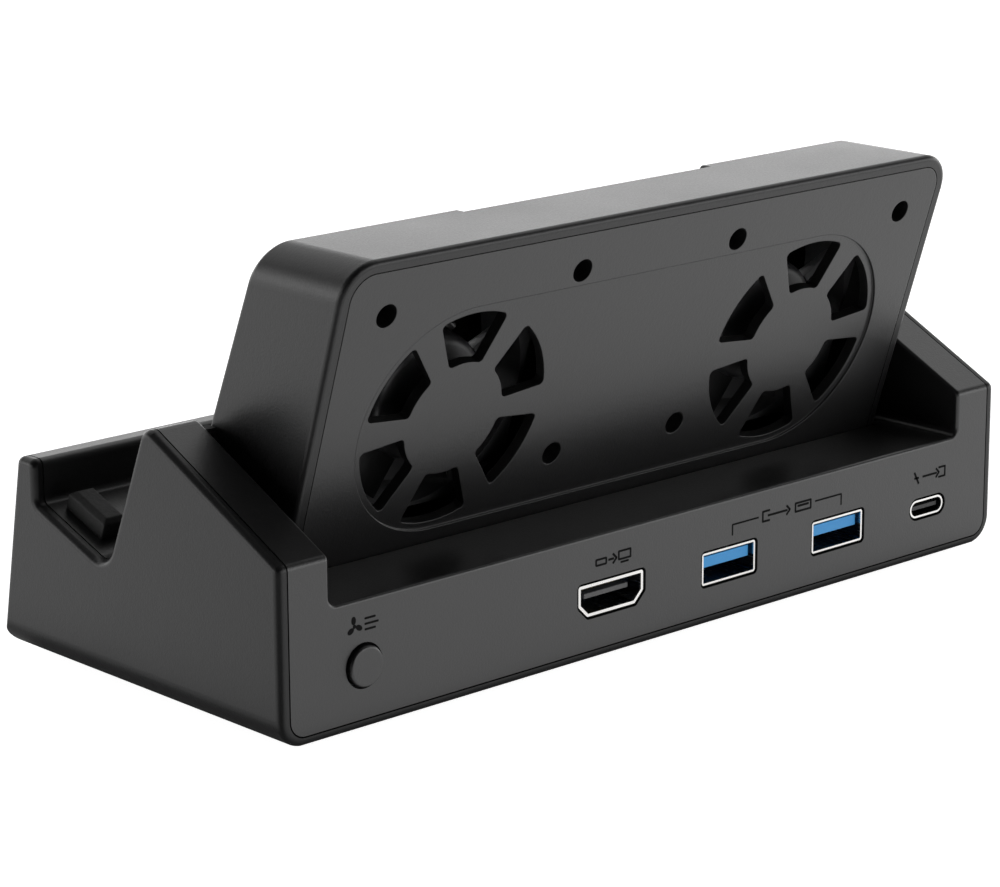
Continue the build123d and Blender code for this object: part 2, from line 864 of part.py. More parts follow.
def blade_section(radius, chord, pitch):
    """Thin arched section of a blade, square to its radius and turned by its pitch."""
    half = chord / 2
    edge = blade_thickness / 2
    angle = radians(pitch)
    plane = Plane(origin=(radius, 0, blade_centre), x_dir=(0, cos(angle), sin(angle)), z_dir=(1, 0, 0))
    outline = Curve() + [
        ThreePointArc((-half, edge), (0, blade_camber + edge), (half, edge)),
        Line((half, edge), (half, -edge)),
        ThreePointArc((half, -edge), (0, blade_camber - edge), (-half, -edge)),
        Line((-half, -edge), (-half, edge)),
    ]
    return plane * make_face(outline)


blade = loft(
    [
        blade_section(hub_radius - hub_wall / 2, blade_root_chord, blade_root_pitch),
        blade_section(blade_radius + blade_thickness, blade_tip_chord, blade_tip_pitch),
    ],
    ruled=True,
)
blade &= bar(blade_radius, 0, fan_thickness)
rotor = hub + [Rot(0, 0, number * 360 / blade_count) * blade for number in range(blade_count)]
magnet = bar(magnet_outer, cup_floor, cup_floor + magnet_height)
magnet -= bar(magnet_outer - magnet_thickness, 0, fan_thickness)

fan_pieces = [
    (frame, "fan_frame", dark),
    (bearing, "fan_bearing", brass),
    (stator, "fan_stator", steel),
    (rotor, "fan_rotor", dark),
    (magnet, "fan_magnet", steel),
]
for side, centre in zip(("right", "left"), fan_centres):
    for piece, name, colour in fan_pieces:
        save(on_cover(centre, fan_set_back, piece), f"{name}_{side}", colour)


# Sockets: folded metal shells, closed at the far end, that stand on the board on short legs
def socket_shell(place, outline, wall, length, leg_reach):
    """Metal socket shell with its mouth at the rear face and a leg at each side."""
    x, height = place
    shell_end = socket_set_back + length
    inside = offset(outline, -wall)
    shape = rearward(place, socket_set_back, outline, length)
    shape -= rearward(place, 0, inside, shell_end - socket_back_wall)
    underside = height + outline.bounding_box().min.Y
    leg_end = min(socket_leg_start + socket_leg_length, shell_end)
    for middle in (x - leg_reach, x + leg_reach):
        shape += block(
            middle - socket_leg_width / 2,
            middle + socket_leg_width / 2,
            socket_leg_start,
            leg_end,
            board_top,
            underside + wall / 2,
        )
    return shape


def socket_tongue(place, size, rise, inset, length):
    """Flat contact tongue that stands out from the far end of a socket."""
    x, height = place
    start = socket_set_back + inset
    end = socket_set_back + length - socket_back_wall
    return rearward((x, height + rise), start, Rectangle(*size), end - start)


save(
    socket_shell(video_place, video_outline, video_wall, video_length, video_leg_reach),
    "video_socket_shell",
    bright,
)
save(
    socket_tongue(video_place, video_tongue, video_tongue_rise, video_tongue_inset, video_length),
    "video_socket_tongue",
    dark,
)
for side, place in (("left", data_place_left), ("right", data_place_right)):
    save(
        socket_shell(place, data_outline, data_wall, data_length, data_leg_reach),
        f"data_socket_shell_{side}",
        bright,
    )
    save(
        socket_tongue(place, data_tongue, data_tongue_rise, data_tongue_inset, data_length),
        f"data_socket_tongue_{side}",
        blue,
    )
save(
    socket_shell(power_place, power_outline, power_wall, power_length, power_leg_reach),
    "power_socket_shell",
    bright,
)
save(
    socket_tongue(power_place, power_tongue, 0, power_tongue_inset, power_length),
    "power_socket_tongue",
    dark,
)

# Fan button: round cap behind its hole, with a flange that keeps it in and a stem to the switch
flange_front = shell_wall + fit_gap
stem_start = flange_front + button_flange_thickness
stem_end = stem_start + button_stem_length
cap = rearward(button_place, -button_proud, Circle(button_radius), button_proud + stem_start)
cap = fillet(cap.faces().sort_by(Axis.Y)[-1].edges(), button_round)
cap += rearward(button_place, flange_front, Circle(button_flange_radius), button_flange_thickness)
cap += rearward(button_place, stem_start, Circle(button_stem_radius), button_stem_length)
save(cap, "fan_button", black)

# Switch behind the button, on two legs, with its plunger against the button's stem
switch_width, switch_length, switch_height = switch_size
switch_low = button_place[1] - switch_height / 2
switch = rearward(button_place, switch_depth, Rectangle(switch_width, switch_height), switch_length)
plunger_end = switch_depth + plunger_inside
switch_bore = Circle(plunger_radius + plunger_clearance)
bore_depth = plunger_inside + button_travel + fit_gap
switch -= rearward(button_place, switch_depth - cut_past, switch_bore, cut_past + bore_depth)
leg_reach = (switch_width - switch_leg_width) / 2
for x in (button_place[0] - leg_reach, button_place[0] + leg_reach):
    switch += block(
        x - switch_leg_width / 2,
        x + switch_leg_width / 2,
        switch_depth,
        switch_depth + switch_length,
        board_top,
        switch_low + switch_leg_width / 2,
    )
save(switch, "button_switch", dark)
plunger = rearward(button_place, stem_end, Circle(plunger_radius), plunger_end - stem_end)
save(plunger, "switch_plunger", bright)

# Main board with its chip and the two fan headers
board_middle = board_set_back + board_depth / 2
board_plan = RectangleRounded(board_length, board_depth, board_round)
board = Pos(0, rear_y - board_middle, foot_height + board_bottom) * extrude(board_plan, board_thickness)
board -= joined(
    upright(x, depth, 0, base_high, screw_pass_radius) for x, depth in board_screw_places
)
save(board, "main_board", green)


def on_board(place, size):
    """Block that stands on the board."""
    x, depth = place
    width, length, height = size
    return block(
        x - width / 2, x + width / 2, depth - length / 2, depth + length / 2, board_top, board_top + height
    )


save(on_board(chip_place, chip_size), "hub_chip", dark)
save(Compound(children=[on_board(place, header_size) for place in header_places]), "fan_headers", bright)


def upright_screw(x, depth, height, length, turn):
    """Screw with its head at a height, driven downward, or upward when turned over."""
    return Pos(x, rear_y - depth, foot_height + height) * Rot(turn, 0, 0) * screw(length)


board_screws = [
    upright_screw(x, depth, board_top, board_screw_length, 180) for x, depth in board_screw_places
]
save(Compound(children=board_screws), "board_screws", steel)
base_screws = [
    upright_screw(x, depth, base_head_top, base_screw_length, 0) for x, depth in base_screw_places
]
save(Compound(children=base_screws), "base_screws", steel)

# Cradle pads: narrow ribs on the sloped floor, one near each end
pad_middle = lip_depth - pad_front_gap - pad_length * cos(floor_tilt) / 2
for name, x in (("left", pad_reach - pad_width / 2), ("right", pad_width / 2 - pad_reach)):
    seat = Plane(
        origin=(x, rear_y - pad_middle, foot_height + cradle_floor(pad_middle)),
        x_dir=(1, 0, 0),
        z_dir=(0, sin(floor_tilt), cos(floor_tilt)),
    )
    pad = Box(pad_width, pad_length, pad_height, align=(Align.CENTER, Align.CENTER, Align.MIN))
    pad = chamfer(pad.faces().sort_by(Axis.Z)[-1].edges(), pad_chamfer)
    save(seat.location * pad, f"cradle_pad_{name}", rubber)
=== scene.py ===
import bmesh
import bpy
from math import cos, radians, sin
from mathutils import Matrix, Vector


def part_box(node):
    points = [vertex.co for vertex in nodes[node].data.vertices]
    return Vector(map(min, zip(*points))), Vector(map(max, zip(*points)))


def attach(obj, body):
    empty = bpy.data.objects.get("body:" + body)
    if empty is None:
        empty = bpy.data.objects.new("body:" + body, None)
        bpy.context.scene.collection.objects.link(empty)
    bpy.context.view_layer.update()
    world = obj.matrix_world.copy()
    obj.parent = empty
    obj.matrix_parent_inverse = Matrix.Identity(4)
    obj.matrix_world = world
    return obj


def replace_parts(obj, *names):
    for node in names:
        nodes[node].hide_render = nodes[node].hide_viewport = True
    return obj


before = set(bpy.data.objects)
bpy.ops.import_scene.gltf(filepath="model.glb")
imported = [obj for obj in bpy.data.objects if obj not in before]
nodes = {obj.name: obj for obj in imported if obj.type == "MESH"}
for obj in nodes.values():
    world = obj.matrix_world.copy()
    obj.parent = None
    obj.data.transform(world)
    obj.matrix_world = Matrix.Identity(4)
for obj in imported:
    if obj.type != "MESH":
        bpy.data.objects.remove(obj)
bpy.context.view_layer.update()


# Lower tray: the moulding that carries everything, its side walls cut to the dock's side view.
# Black satin ABS from a spark-eroded mould, so each outer face has the same fine pebbled grain.
# The upper shell drops into it, and four screws from underneath hold the two together.
def node_group(name, inputs, outputs):
    """Empty shader group with named inputs, each with its starting value, and named outputs."""
    group = bpy.data.node_groups.new(name, "ShaderNodeTree")
    for label, kind, value in inputs:
        socket = group.interface.new_socket(label, in_out="INPUT", socket_type="NodeSocket" + kind)
        if value is not None:
            socket.default_value = value
    for label, kind in outputs:
        group.interface.new_socket(label, in_out="OUTPUT", socket_type="NodeSocket" + kind)
    return group, group.nodes.new("NodeGroupInput"), group.nodes.new("NodeGroupOutput")


def put(tree, kind, values=(), **settings):
    """New node in a tree, its settings made and each socket set to a value or linked."""
    node = tree.nodes.new("ShaderNode" + kind)
    for key, value in settings.items():
        setattr(node, key, value)
    for key, value in dict(values).items():
        if isinstance(value, bpy.types.NodeSocket):
            tree.links.new(value, node.inputs[key])
        else:
            node.inputs[key].default_value = value
    return node


def moulded_grain():
    """Height and gloss of a spark-eroded mould surface: fine pebbles and soft patches of wear."""
    group, given, result = node_group(
        "Moulded grain",
        [("Vector", "Vector", None), ("Pebbles per metre", "Float", 2600.0)],
        [("Height", "Float"), ("Gloss", "Float"), ("Patches", "Float")],
    )
    where, density = given.outputs["Vector"], given.outputs["Pebbles per metre"]
    coarse = put(group, "Math", {0: density, 1: 0.34}, operation="MULTIPLY")
    fine = {"Vector": where, "Scale": density, "Detail": 2.0, "Roughness": 0.6}
    pebbles = put(group, "TexNoise", fine).outputs[0]
    wavy = {"Vector": where, "Scale": coarse.outputs[0], "Detail": 1.0}
    orange_peel = put(group, "TexNoise", wavy).outputs[0]
    worn = {"Vector": where, "Scale": 38.0, "Detail": 4.0, "Roughness": 0.55}
    patches = put(group, "TexNoise", worn)
    height = put(group, "Math", {0: orange_peel, 1: 0.45, 2: pebbles}, operation="MULTIPLY_ADD")
    cloudy = {0: patches.outputs[0], 1: 0.6, 2: pebbles}
    gloss = put(group, "Math", cloudy, operation="MULTIPLY_ADD")
    group.links.new(height.outputs[0], result.inputs["Height"])
    group.links.new(gloss.outputs[0], result.inputs["Gloss"])
    group.links.new(patches.outputs[0], result.inputs["Patches"])
    return group


def settled_dust():
    """Mask of the faint lint and dust that rests on faces that look up."""
    inputs, outputs = [("Vector", "Vector", None)], [("Mask", "Float")]
    group, given, result = node_group("Settled dust", inputs, outputs)
    where = given.outputs["Vector"]
    facing = put(group, "NewGeometry")
    upward = put(group, "SeparateXYZ", {"Vector": facing.outputs["Normal"]})
    rising = {"Value": upward.outputs["Z"], "From Min": 0.35, "From Max": 1.0}
    level = put(group, "MapRange", rising)
    lint = {"Vector": where, "Scale": 900.0, "Detail": 3.0, "Roughness": 0.7}
    specks = put(group, "TexNoise", lint)
    thick = put(group, "MapRange", {"Value": specks.outputs[0], "From Min": 0.56, "From Max": 0.74})
    mask = put(group, "Math", {0: level.outputs[0], 1: thick.outputs[0]}, operation="MULTIPLY")
    group.links.new(mask.outputs[0], result.inputs["Mask"])
    return group


grain_group = moulded_grain()
dust_group = settled_dust()


def fresh_material(name):
    """Material with only its shader, and the object coordinates to hang patterns on."""
    material = bpy.data.materials.new(name)
    material.use_nodes = True
    tree = material.node_tree
    shader = tree.nodes["Principled BSDF"]
    where = put(tree, "TexCoord").outputs["Object"]
    return material, tree, shader, where


def grained(name, tones, gloss, pebbles, depth, dust=0.0, gleam=0.5, edge=0.0):
    """Moulded plastic: two close tones in patches, uneven gloss, pebbled surface, eased edges."""
    (dark, light), (rough_low, rough_high) = tones, gloss
    material, tree, shader, where = fresh_material(name)
    grain = put(tree, "Group", node_tree=grain_group)
    tree.links.new(where, grain.inputs["Vector"])
    grain.inputs["Pebbles per metre"].default_value = pebbles
    tone = put(tree, "Mix", data_type="RGBA")
    tone.inputs[6].default_value = (*dark, 1)
    tone.inputs[7].default_value = (*light, 1)
    tree.links.new(grain.outputs["Patches"], tone.inputs[0])
    colour = tone.outputs[2]
    rough = put(tree, "MapRange", {"Value": grain.outputs["Gloss"]})
    rough.inputs["From Min"].default_value = 0.45
    rough.inputs["From Max"].default_value = 1.15
    rough.inputs["To Min"].default_value = rough_low
    rough.inputs["To Max"].default_value = rough_high
    if dust:
        settled = put(tree, "Group", node_tree=dust_group)
        tree.links.new(where, settled.inputs["Vector"])
        amount = put(tree, "Math", {0: settled.outputs["Mask"], 1: dust}, operation="MULTIPLY")
        dusty = put(tree, "Mix", data_type="RGBA")
        tree.links.new(amount.outputs[0], dusty.inputs[0])
        tree.links.new(colour, dusty.inputs[6])
        dusty.inputs[7].default_value = (0.32, 0.31, 0.29, 1)
        colour = dusty.outputs[2]
    pebbled = {"Height": grain.outputs["Height"], "Distance": depth, "Strength": 0.5}
    bump = put(tree, "Bump", pebbled)
    if edge:
        eased = put(tree, "Bevel", {"Radius": edge}, samples=6)
        tree.links.new(eased.outputs[0], bump.inputs["Normal"])
    tree.links.new(colour, shader.inputs["Base Color"])
    tree.links.new(rough.outputs[0], shader.inputs["Roughness"])
    tree.links.new(bump.outputs[0], shader.inputs["Normal"])
    shader.inputs["Specular IOR Level"].default_value = gleam
    return material


def finish(material, *names):
    """Give CAD nodes their material."""
    for name in names:
        mesh = nodes[name].data
        mesh.materials.clear()
        mesh.materials.append(material)


def satin_abs(name, gleam, edge=0.0):
    """Black ABS as it comes from one mould; each mould's polish gives its own gleam."""
    tones = ((0.0060, 0.0060, 0.0063), (0.0092, 0.0092, 0.0096))
    return grained(name, tones, (0.30, 0.40), 2600, 0.00005, dust=0.02, gleam=gleam, edge=edge)


def shaded_inwards(material, inward, start, fade, dark):
    """Paint shade into a material: darken it from a depth inwards, where its hollows lie in shade."""
    tree = material.node_tree
    shader = tree.nodes["Principled BSDF"]
    where = put(tree, "TexCoord").outputs["Object"]
    depth = put(tree, "VectorMath", {0: where, 1: inward}, operation="DOT_PRODUCT").outputs["Value"]
    reach = {"Value": depth, "From Min": start, "From Max": start + fade}
    deep = put(tree, "MapRange", reach).outputs[0]
    colour = put(tree, "Mix", data_type="RGBA")
    tree.links.new(deep, colour.inputs[0])
    tree.links.new(shader.inputs["Base Color"].links[0].from_socket, colour.inputs[6])
    colour.inputs[7].default_value = (*dark, 1)
    tree.links.new(colour.outputs[2], shader.inputs["Base Color"])
    return deep


tray_black = satin_abs("Satin black tray", 0.31)
finish(tray_black, "lower_tray")


# Foot strips: two self-adhesive strips of black silicone rubber in shallow pockets under the tray.
# Die-cut from sheet, so their faces are dull and slightly mottled.
rubber_tones = ((0.007, 0.007, 0.007), (0.013, 0.013, 0.0125))
rubber = grained(
    "Black rubber", rubber_tones, (0.55, 0.72), 1500, 0.00008, dust=0.03, gleam=0.35, edge=0.0006
)
finish(rubber, "foot_strip_front", "foot_strip_rear")


# Main board: green glass-epoxy with a solder mask over fine copper tracks, screwed to the tray's
# posts. It carries the hub chip, the fan headers and the button's switch.
def solder_mask():
    """Green lacquer over a faint lattice of tracks."""
    material, tree, shader, where = fresh_material("Solder mask")
    lattice = {"Vector": where, "Scale": 260.0, "Mortar Size": 0.06, "Mortar Smooth": 0.4}
    tracks = put(tree, "TexBrick", lattice)
    tracks.inputs["Color1"].default_value = (0.006, 0.045, 0.018, 1)
    tracks.inputs["Color2"].default_value = (0.008, 0.056, 0.022, 1)
    tracks.inputs["Mortar"].default_value = (0.014, 0.090, 0.036, 1)
    weave = put(tree, "TexNoise", {"Vector": where, "Scale": 1400.0, "Detail": 2.0})
    rough = put(tree, "MapRange", {"Value": weave.outputs[0], "To Min": 0.22, "To Max": 0.40})
    raised = {"Height": tracks.outputs["Fac"], "Distance": 0.00003, "Strength": 0.6}
    bump = put(tree, "Bump", raised)
    tree.links.new(tracks.outputs["Color"], shader.inputs["Base Color"])
    tree.links.new(rough.outputs[0], shader.inputs["Roughness"])
    tree.links.new(bump.outputs[0], shader.inputs["Normal"])
    return material


finish(solder_mask(), "main_board")
epoxy_tones = ((0.010, 0.010, 0.011), (0.017, 0.017, 0.018))
chip_epoxy = grained("Chip epoxy", epoxy_tones, (0.45, 0.60), 3200, 0.00003)
finish(chip_epoxy, "hub_chip", "button_switch")
nylon_tones = ((0.62, 0.61, 0.57), (0.74, 0.73, 0.69))
white_nylon = grained("White nylon", nylon_tones, (0.40, 0.55), 1800, 0.00003)
finish(white_nylon, "fan_headers", "switch_plunger")


# Sockets: drawn steel shells with bright nickel plate, soldered to the board behind the rear wall.
# Each holds a moulded tongue with gold-plated contacts, blue in the two data sockets.
# The video socket's tongue is a thin blade on a thick root.
def drawn_metal(name, colour, rough_low, rough_high, lines):
    """Plated or rolled metal: fine drawing lines and a cloudy gloss."""
    material, tree, shader, where = fresh_material(name)
    stretch = put(tree, "Mapping", {"Vector": where, "Scale": (1.0, 0.06, 1.0)})
    drawn = put(tree, "TexNoise", {"Vector": stretch.outputs[0], "Scale": lines, "Detail": 2.0})
    cloud = put(tree, "TexNoise", {"Vector": where, "Scale": 120.0, "Detail": 3.0})
    tone = put(tree, "MapRange", {"Value": cloud.outputs[0], "From Min": 0.3, "From Max": 0.7})
    tint = put(tree, "Mix", data_type="RGBA")
    tint.inputs[6].default_value = (*[0.86 * channel for channel in colour], 1)
    tint.inputs[7].default_value = (*colour, 1)
    tree.links.new(tone.outputs[0], tint.inputs[0])
    rough = put(tree, "MapRange", {"Value": drawn.outputs[0], "From Min": 0.3, "From Max": 0.7})
    rough.inputs["To Min"].default_value = rough_low
    rough.inputs["To Max"].default_value = rough_high
    bump = put(tree, "Bump", {"Height": drawn.outputs[0], "Distance": 0.00001, "Strength": 0.4})
    tree.links.new(tint.outputs[2], shader.inputs["Base Color"])
    tree.links.new(rough.outputs[0], shader.inputs["Roughness"])
    tree.links.new(bump.outputs[0], shader.inputs["Normal"])
    shader.inputs["Metallic"].default_value = 1.0
    return material


nickel = drawn_metal("Nickel plate", (0.80, 0.79, 0.77), 0.14, 0.30, 2400)
# Painted shade: the shells' nickel darkens from just behind the video socket's mouth inwards, where
# the sockets' insides lie in shade.
mouth = -max(vertex.co.y for vertex in nodes["video_socket_shell"].data.vertices)
rim_before_shade, socket_shade_fade = 0.0001, 0.0005
socket_shade_nickel = (0.270, 0.300, 0.350)
shaded_inwards(nickel, (0, -1, 0), mouth + rim_before_shade, socket_shade_fade, socket_shade_nickel)
finish(nickel, "video_socket_shell", "power_socket_shell")
finish(nickel, "data_socket_shell_left", "data_socket_shell_right")
tongue_tones = ((0.050, 0.050, 0.052), (0.070, 0.070, 0.072))
black_tongue = grained("Black socket tongue", tongue_tones, (0.40, 0.52), 2200, 0.00002)
finish(chip_epoxy, "power_socket_tongue")
blue_tones = ((0.016, 0.235, 0.57), (0.024, 0.295, 0.66))
blue_tongue = grained("Blue socket tongue", blue_tones, (0.36, 0.50), 2200, 0.00002)
finish(blue_tongue, "data_socket_tongue_left", "data_socket_tongue_right")
gold = drawn_metal("Gold contacts", (0.93, 0.68, 0.28), 0.18, 0.32, 3000)


def in_scene(name, shape, material):
    """Make a finished bmesh an object of the scene."""
    mesh = bpy.data.meshes.new(name)
    shape.to_mesh(mesh)
    shape.free()
    mesh.materials.append(material)
    made = bpy.data.objects.new(name, mesh)
    bpy.context.scene.collection.objects.link(made)
    return made


def solid_piece(name, shape, material, body="dock"):
    """Make a finished bmesh a piece of the dock that rides on a body."""
    bmesh.ops.recalc_face_normals(shape, faces=shape.faces)
    piece = in_scene(name, shape, material)
    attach(piece, body)
    return piece


def turned(shape, verts, angle, axis="Z"):
    """Turn some of a shape about an axis through the origin, by an angle in degrees."""
    matrix = Matrix.Rotation(radians(angle), 3, axis)
    bmesh.ops.rotate(shape, cent=(0, 0, 0), matrix=matrix, verts=verts)


def rounded(shape, geom, radius, affect, segments):
    """Round some edges or corners of a shape."""
    return bmesh.ops.bevel(
        shape, geom=geom, offset=radius, affect=affect, segments=segments, profile=0.5, material=-1
    )


contact_thickness = 0.00012
contact_edge = 0.00004


def contact_row(shape, count, pitch, width, length, front):
    """Row of contact strips on one face of a tongue, their front ends about a middle place."""
    middle, reach, face = front
    for number in range(count):
        x = middle + (number - (count - 1) / 2) * pitch
        verts = bmesh.ops.create_cube(shape, size=1.0)["verts"]
        bmesh.ops.scale(shape, vec=(width, length, contact_thickness), verts=verts)
        bmesh.ops.translate(shape, vec=(x, reach - length / 2, face), verts=verts)
        edges = list({edge for vert in verts for edge in vert.link_edges})
        rounded(shape, edges, contact_edge, "EDGES", 1)


def tongue_contacts(name, low, high, rows):
    """Contacts of one tongue: rows of side, count, pitch, width, length and set-back, in mm."""
    shape = bmesh.new()
    for side, count, *sizes in rows:
        pitch, width, length, back = (size / 1000 for size in sizes)
        face = high.z if side == "top" else low.z
        front = ((low.x + high.x) / 2, high.y - back, face)
        contact_row(shape, count, pitch, width, length, front)
    return solid_piece(name, shape, gold)


def stepped_tongue(name, low, high, blade_low, blade_high):
    """Thin contact blade that steps up to a thick root, both given by two opposite corners."""
    blade, root = blade_high - blade_low, high - low
    shape = bmesh.new()
    made = bmesh.ops.create_grid(shape, x_segments=1, y_segments=1, size=0.5)["verts"]
    bmesh.ops.scale(shape, vec=(blade.x, blade.z, 1), verts=made)
    turned(shape, made, 90, "X")
    front = (blade_low + blade_high) / 2 + Vector((0, blade.y / 2, 0))
    bmesh.ops.translate(shape, vec=front, verts=made)
    back = made[0].link_faces[0]
    nose = list(back.edges)
    widen = Matrix.Diagonal((root.x / blade.x, 1, root.z / blade.z))
    for travel, sizes in ((-blade.y, None), (0, widen), (low.y - blade_low.y, None)):
        grown = bmesh.ops.extrude_face_region(shape, geom=[back])["geom"]
        back = next(item for item in grown if isinstance(item, bmesh.types.BMFace))
        bmesh.ops.translate(shape, vec=(0, travel, 0), verts=back.verts)
        if sizes:
            middle = back.calc_center_median()
            for vert in back.verts:
                vert.co = middle + sizes @ (vert.co - middle)
            lift = (low.z + high.z) / 2 - middle.z
            bmesh.ops.translate(shape, vec=(0, 0, lift), verts=back.verts)
    rounded(shape, nose, nose_edge, "EDGES", 3)
    return solid_piece(name, shape, black_tongue)


nose_edge = 0.00012
blade_thickness = 0.0009
blade_side, blade_set_back, root_length = 0.0005, 0.0002, 0.0032
low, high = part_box("video_socket_tongue")
blade_low = Vector((low.x + blade_side, low.y + root_length, low.z))
blade_high = Vector((high.x - blade_side, high.y - blade_set_back, low.z + blade_thickness))
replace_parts(stepped_tongue("video_tongue", low, high, blade_low, blade_high), "video_socket_tongue")
video_rows = [("top", 10, 1.0, 0.42, 4.6, 1.9), ("bottom", 9, 1.0, 0.42, 4.6, 1.9)]
tongue_contacts("video_contacts", blade_low, blade_high, video_rows)
for side in ("left", "right"):
    low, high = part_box(f"data_socket_tongue_{side}")
    tongue_contacts(f"data_contacts_{side}", low, high, [("bottom", 4, 2.3, 1.1, 7.5, 1.6)])
low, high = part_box("power_socket_tongue")
power_rows = [("top", 12, 0.5, 0.26, 3.4, 1.3), ("bottom", 12, 0.5, 0.26, 3.4, 1.3)]
tongue_contacts("power_contacts", low, high, power_rows)


# Upper shell: the moulding with the front lip, cradle, shoulders, deck and rear wall, of the same
# satin black ABS as the tray that it sits in. The narrow webs between the shoulders and the housing
# are matt, because the mould's polish stops there.
def matt_webs(material, half_gap, height):
    """Roughen a material above a height, between the inner sides of the two shoulders."""
    tree = material.node_tree
    shader = tree.nodes["Principled BSDF"]
    place = put(tree, "SeparateXYZ", {"Vector": put(tree, "TexCoord").outputs["Object"]})
    along = put(tree, "Math", {0: place.outputs["X"]}, operation="ABSOLUTE")
    between = put(tree, "Math", {0: along.outputs[0], 1: half_gap}, operation="LESS_THAN")
    above = put(tree, "Math", {0: place.outputs["Z"], 1: height}, operation="GREATER_THAN")
    web = put(tree, "Math", {0: between.outputs[0], 1: above.outputs[0]}, operation="MULTIPLY")
    polish = shader.inputs["Roughness"].links[0].from_socket
    rough = put(tree, "Math", {0: polish, 1: web.outputs[0]}, operation="MAXIMUM")
    tree.links.new(rough.outputs[0], shader.inputs["Roughness"])


shell_black = satin_abs("Satin black shell", 0.67)
web_half_gap, web_height = 0.0742, 0.0436
matt_webs(shell_black, web_half_gap, web_height)
finish(shell_black, "upper_shell")


# Cradle pads: two ribs of soft rubber on the cradle floor that keep the console from rattling.
# Pressed into the moulding, a little duller than it.
finish(rubber, "cradle_pad_left", "cradle_pad_right")


# Marks on the rear wall: small signs printed in matt black ink, barely proud of the wall. They are
# a propeller by the button, a plug and a screen over the video socket, an arrow out of a box with
# bracket lines over the data sockets, and power going into a box over the last socket.
ink_tones = ((0.0030, 0.0030, 0.0031), (0.0050, 0.0050, 0.0051))
ink_black = grained("Matt black ink", ink_tones, (0.70, 0.85), 5200, 0.00002, gleam=0.08)
mark_proud = 0.03
mark_sunk = 0.02
base_lift = 0.8
outline_stroke = 0.36
frame_stroke = 0.38
arrow_stroke = 0.40
bolt_stroke = 0.44
bracket_stroke = 0.31
rear_wall = nodes["upper_shell"].data
rear_y = max(vertex.co.y for vertex in rear_wall.vertices) * 1000


def rounded_bar(shape, x, height, width, tall, round_by, turn=0.0):
    """Flat bar with rounded corners, its middle at a place on the rear wall; returns its face."""
    made = bmesh.ops.create_grid(shape, x_segments=1, y_segments=1, size=0.5)["verts"]
    bmesh.ops.scale(shape, vec=(width, tall, 1), verts=made)
    cut = rounded(shape, made, round_by, "VERTICES", 4)
    rim = {vert for item in cut["faces"] for vert in item.verts} | set(cut["verts"])
    around = {item for vert in rim for item in vert.link_faces}
    face = max(around, key=lambda item: item.calc_area())
    verts = list(face.verts)
    turned(shape, verts, turn)
    bmesh.ops.translate(shape, vec=(x, height, 0), verts=verts)
    return face


def hollow(shape, face, line):
    """Leave only a line round the edge of a face."""
    bmesh.ops.inset_region(
        shape, faces=[face], thickness=line, use_even_offset=True, use_boundary=True
    )
    bmesh.ops.delete(shape, geom=[face], context="FACES")


def wall_mark(name, shape):
    """Give flat signs their thickness and stand them on the rear wall, to be read from behind."""
    sheet = bmesh.ops.extrude_face_region(shape, geom=shape.faces[:])["geom"]
    raised = [item for item in sheet if isinstance(item, bmesh.types.BMVert)]
    bmesh.ops.translate(shape, vec=(0, 0, mark_proud + mark_sunk), verts=raised)
    turned(shape, shape.verts, 90, "X")
    bmesh.ops.scale(shape, vec=(1, -1, 1), verts=shape.verts)
    bmesh.ops.translate(shape, vec=(0, rear_y - mark_sunk, base_lift), verts=shape.verts)
    bmesh.ops.scale(shape, vec=(0.001, 0.001, 0.001), verts=shape.verts)
    return solid_piece(name, shape, ink_black)


propeller_place = (69.4, 17.25, 0)
blade_radius, blade_width, blade_middle = 0.70, 0.66, (0.16, 0.98, 0)
boss_radius = 0.34
shape = bmesh.new()
for number in range(3):
    blade = bmesh.ops.create_circle(shape, cap_ends=True, segments=24, radius=blade_radius)["verts"]
    bmesh.ops.scale(shape, vec=(blade_width, 1, 1), verts=blade)
    bmesh.ops.translate(shape, vec=blade_middle, verts=blade)
    turned(shape, blade, 120 * number)
bmesh.ops.create_circle(shape, cap_ends=True, segments=20, radius=boss_radius)
bmesh.ops.translate(shape, vec=propeller_place, verts=shape.verts)
for middle, height, length in ((66.2, 18.15, 2.3), (65.9, 17.25, 2.9), (66.2, 16.35, 2.3)):
    rounded_bar(shape, middle, height, length, outline_stroke, 0.15)
wall_mark("fan_sign", shape)


def arrow(shape, tip, height, length, way):
    """Arrow along the wall, its tip at a place and its shaft behind."""
    middle = tip - way * (0.3 + length / 2)
    rounded_bar(shape, middle, height, length - 0.6, arrow_stroke, 0.08)
    barb = tip - way * 0.40
    for turn, side in ((45, -way), (-45, way)):
        rounded_bar(shape, barb, height + side * 0.40, 1.30, arrow_stroke, 0.08, turn)


def box_sign(shape, x, height, way):
    """Box open on the side that the arrow passes."""
    rounded_bar(shape, x - way * 0.95, height, frame_stroke, 2.1, 0.08)
    for edge in (-0.89, 0.89):
        rounded_bar(shape, x, height + edge, 1.7, frame_stroke, 0.08)


shape = bmesh.new()
plug = rounded_bar(shape, 15.9, 16.6, 2.7, 1.35, 0.3)
hollow(shape, plug, outline_stroke)
arrow(shape, 12.35, 16.6, 1.9, -1)
screen = rounded_bar(shape, 10.45, 16.85, 3.1, 1.75, 0.25)
hollow(shape, screen, outline_stroke)
rounded_bar(shape, 10.45, 15.60, 1.9, outline_stroke, 0.1)
wall_mark("screen_sign", shape)

